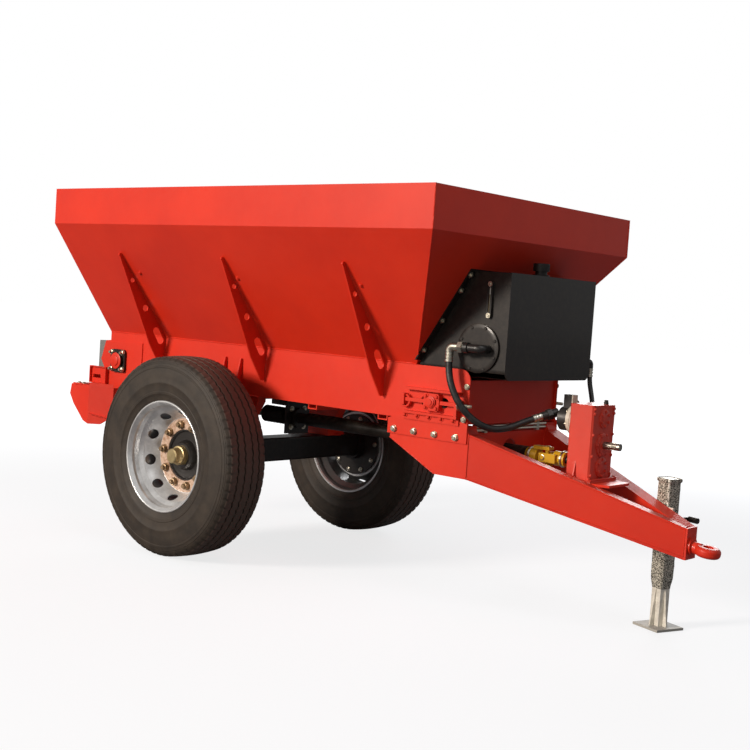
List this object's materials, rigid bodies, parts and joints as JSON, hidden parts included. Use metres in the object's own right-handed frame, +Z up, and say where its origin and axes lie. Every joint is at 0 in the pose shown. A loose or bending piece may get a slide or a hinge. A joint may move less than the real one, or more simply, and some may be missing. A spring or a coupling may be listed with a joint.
{
  "type": "manure spreader",
  "caption": "Towed single-axle manure spreader: open hopper over a floor conveyor, twin spinning discs at the back, A-frame drawbar with shaft gearbox, oil tank and parking jack.",
  "frame": {"origin": "centre of the ground footprint: the middle of the overall length, on the centre line, at ground level", "axes": "+X forward to the towing eye, +Y to the machine's left, +Z up"},
  "size_m": [4.215, 1.785, 1.982],
  "materials": {
    "red_paint": "glossy",
    "dark_paint": "glossy",
    "silver_paint": "satin",
    "hub_paint": "satin",
    "cream_paint": "satin",
    "zinc_steel": "satin",
    "worn_steel": "matte",
    "cast_housing": "satin",
    "tyre_rubber": "matte",
    "hose_rubber": "satin",
    "clear_gauge": "glossy",
    "black_plastic": "satin",
    "yellow_paint": "satin"
  },
  "bodies": {
    "chassis": {"axle_beam": "dark_paint", "axle_stands": "red_paint", "bearing_plates": "red_paint", "centre_bearing": "dark_paint", "chain_take_ups": "red_paint", "conveyor_chain": "worn_steel", "conveyor_motor": "dark_paint", "conveyor_shafts": "worn_steel", "cross_members": "red_paint", "discharge_hood": "zinc_steel", "drawbar_cross_plates": "red_paint", "drawbar_nose": "red_paint", "drawbar_rail_left": "red_paint", "drawbar_rail_right": "red_paint", "drive_bearings": "dark_paint", "filler_cap": "black_plastic", "front_baffle": "red_paint", "front_panel": "red_paint", "gate_guides": "red_paint", "gearbox_hanger": "red_paint", "guard_brackets": "red_paint", "hopper_back": "red_paint", "hopper_floor": "red_paint", "hopper_front": "red_paint", "hopper_ribs": "red_paint", "hopper_side_left": "red_paint", "hopper_side_right": "red_paint", "hydraulic_pump": "cream_paint", "jack_crank": "dark_paint", "jack_tube": "zinc_steel", "level_gauge": "clear_gauge", "oil_tank": "dark_paint", "return_hose": "hose_rubber", "side_outriggers": "red_paint", "side_plate_left": "red_paint", "side_plate_right": "red_paint", "splice_plates": "red_paint", "splitter_gearbox": "cast_housing", "spreader_gearbox": "cast_housing", "spreader_guards": "red_paint", "steel_pipes": "zinc_steel", "suction_hose": "hose_rubber", "tank_cover": "dark_paint", "tank_elbows": "zinc_steel", "towing_eye": "red_paint"},
    "wheel_right": {"tyre_right": "tyre_rubber", "rim_right": "silver_paint", "hub_right": "hub_paint"},
    "wheel_left": {"tyre_left": "tyre_rubber", "rim_left": "silver_paint", "hub_left": "hub_paint"},
    "shaft_line": {"driveline": "dark_paint", "universal_joint": "yellow_paint", "shaft_boot": "black_plastic"},
    "spinner_right": {"spreading_disc_right": "worn_steel"},
    "spinner_left": {"spreading_disc_left": "worn_steel"},
    "input_shaft": {"power_shaft_stub": "worn_steel"},
    "jack_foot": {"jack_leg": "zinc_steel"},
    "gate": {"rear_gate": "red_paint"}
  },
  "joints": [
    {"name": "wheel_right_spin", "type": "hinge", "parent": "chassis", "child": "wheel_right", "pos_m": [-0.6775, -0.7425, 0.542], "axis": [0, 1, 0], "continuous": true},
    {"name": "wheel_left_spin", "type": "hinge", "parent": "chassis", "child": "wheel_left", "pos_m": [-0.6775, 0.7425, 0.542], "axis": [0, 1, 0], "continuous": true},
    {"name": "shaft_line_spin", "type": "hinge", "parent": "chassis", "child": "shaft_line", "pos_m": [-0.6775, 0, 0.745], "axis": [1, 0, 0], "continuous": true},
    {"name": "spinner_right_spin", "type": "hinge", "parent": "chassis", "child": "spinner_right", "pos_m": [-1.8675, -0.262, 0.665], "axis": [0, 0, 1], "continuous": true},
    {"name": "spinner_left_spin", "type": "hinge", "parent": "chassis", "child": "spinner_left", "pos_m": [-1.8675, 0.262, 0.665], "axis": [0, 0, 1], "continuous": true},
    {"name": "input_shaft_spin", "type": "hinge", "parent": "chassis", "child": "input_shaft", "pos_m": [1.4525, 0, 0.841], "axis": [1, 0, 0], "continuous": true},
    {"name": "jack_slide", "type": "slide", "parent": "chassis", "child": "jack_foot", "axis": [0, 0, 1], "range_m": [-0.18, 0.075]},
    {"name": "gate_slide", "type": "slide", "parent": "chassis", "child": "gate", "axis": [0, 0, 1], "range_m": [0, 0.15]}
  ],
  "couplings": [
    {"joint": "spinner_right_spin", "follows": "shaft_line_spin", "ratio": 1},
    {"joint": "spinner_left_spin", "follows": "shaft_line_spin", "ratio": -1},
    {"joint": "input_shaft_spin", "follows": "shaft_line_spin", "ratio": -1}
  ]
}
